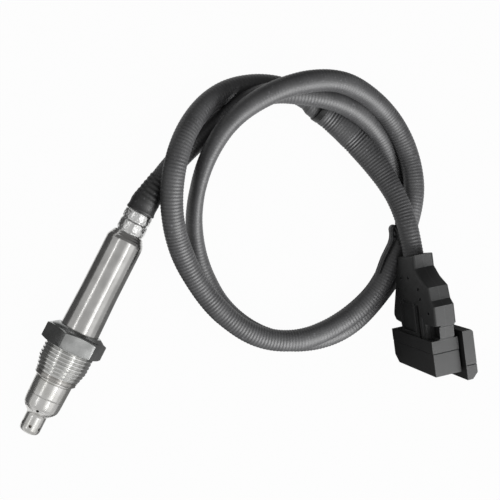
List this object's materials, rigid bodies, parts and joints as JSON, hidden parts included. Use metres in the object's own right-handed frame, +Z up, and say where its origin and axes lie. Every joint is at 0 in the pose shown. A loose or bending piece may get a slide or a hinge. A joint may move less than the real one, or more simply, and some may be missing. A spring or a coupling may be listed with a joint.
{
  "type": "nitrogen oxide sensor",
  "caption": "Threaded exhaust gas sensor probe with a loose union nut, a ribbed conduit held in a coil by cable ties, and a moulded plug with a mounting plate.",
  "frame": {"origin": "centre of the probe's bounding box at its base: the probe lies on the floor on a flat of its hexagon", "axes": "+X along the probe towards its tip, +Z up, +Y towards the side where the conduit is coiled"},
  "size_m": [0.1879, 0.161, 0.0466],
  "materials": {
    "protection_tube": "satin, slightly heat tinted",
    "inner_tube": "satin",
    "body_steel": "turned",
    "nut_steel": "turned, oiled thread",
    "sleeve_steel": "polished",
    "ferrule_steel": "satin, crimped",
    "element_ceramic": "matt fired ceramic",
    "steatite": "matt",
    "talc": "pressed powder",
    "contact_metal": "bright",
    "lead_insulation": "smooth",
    "grommet_rubber": "matt",
    "boot_sleeve": "shrunk, semi-matt",
    "conduit_plastic": "ribbed, semi-matt",
    "tie_plastic": "satin",
    "plug_plastic": "fine moulded grain",
    "insert_plastic": "smooth",
    "seal_rubber": "smooth"
  },
  "bodies": {
    "sensor": {"outer_protection_tube": "protection_tube", "inner_protection_tube": "inner_tube", "sensor_body": "body_steel", "sleeve_tube": "sleeve_steel", "crimp_ferrule": "ferrule_steel", "sensing_element": "element_ceramic", "lower_insulator": "steatite", "talc_seal": "talc", "upper_insulator": "steatite", "contact_holder": "steatite", "contact_springs": "contact_metal", "lead_wires": "lead_insulation", "cable_grommet": "grommet_rubber", "cable_boot": "boot_sleeve", "conduit": "conduit_plastic", "coil_tie_upper": "tie_plastic", "coil_tie_right": "tie_plastic", "wire_cover_front": "plug_plastic", "wire_cover_rear": "plug_plastic", "plug_housing": "plug_plastic", "plug_shroud": "plug_plastic", "contact_insert": "insert_plastic", "housing_seal": "seal_rubber", "socket_contacts": "contact_metal", "mounting_plate": "plug_plastic"},
    "nut": {"union_nut": "nut_steel"}
  },
  "joints": [
    {"name": "nut_turn", "type": "hinge", "parent": "sensor", "child": "nut", "pos_m": [0, 0, 0.011], "axis": [1, 0, 0], "continuous": true}
  ]
}
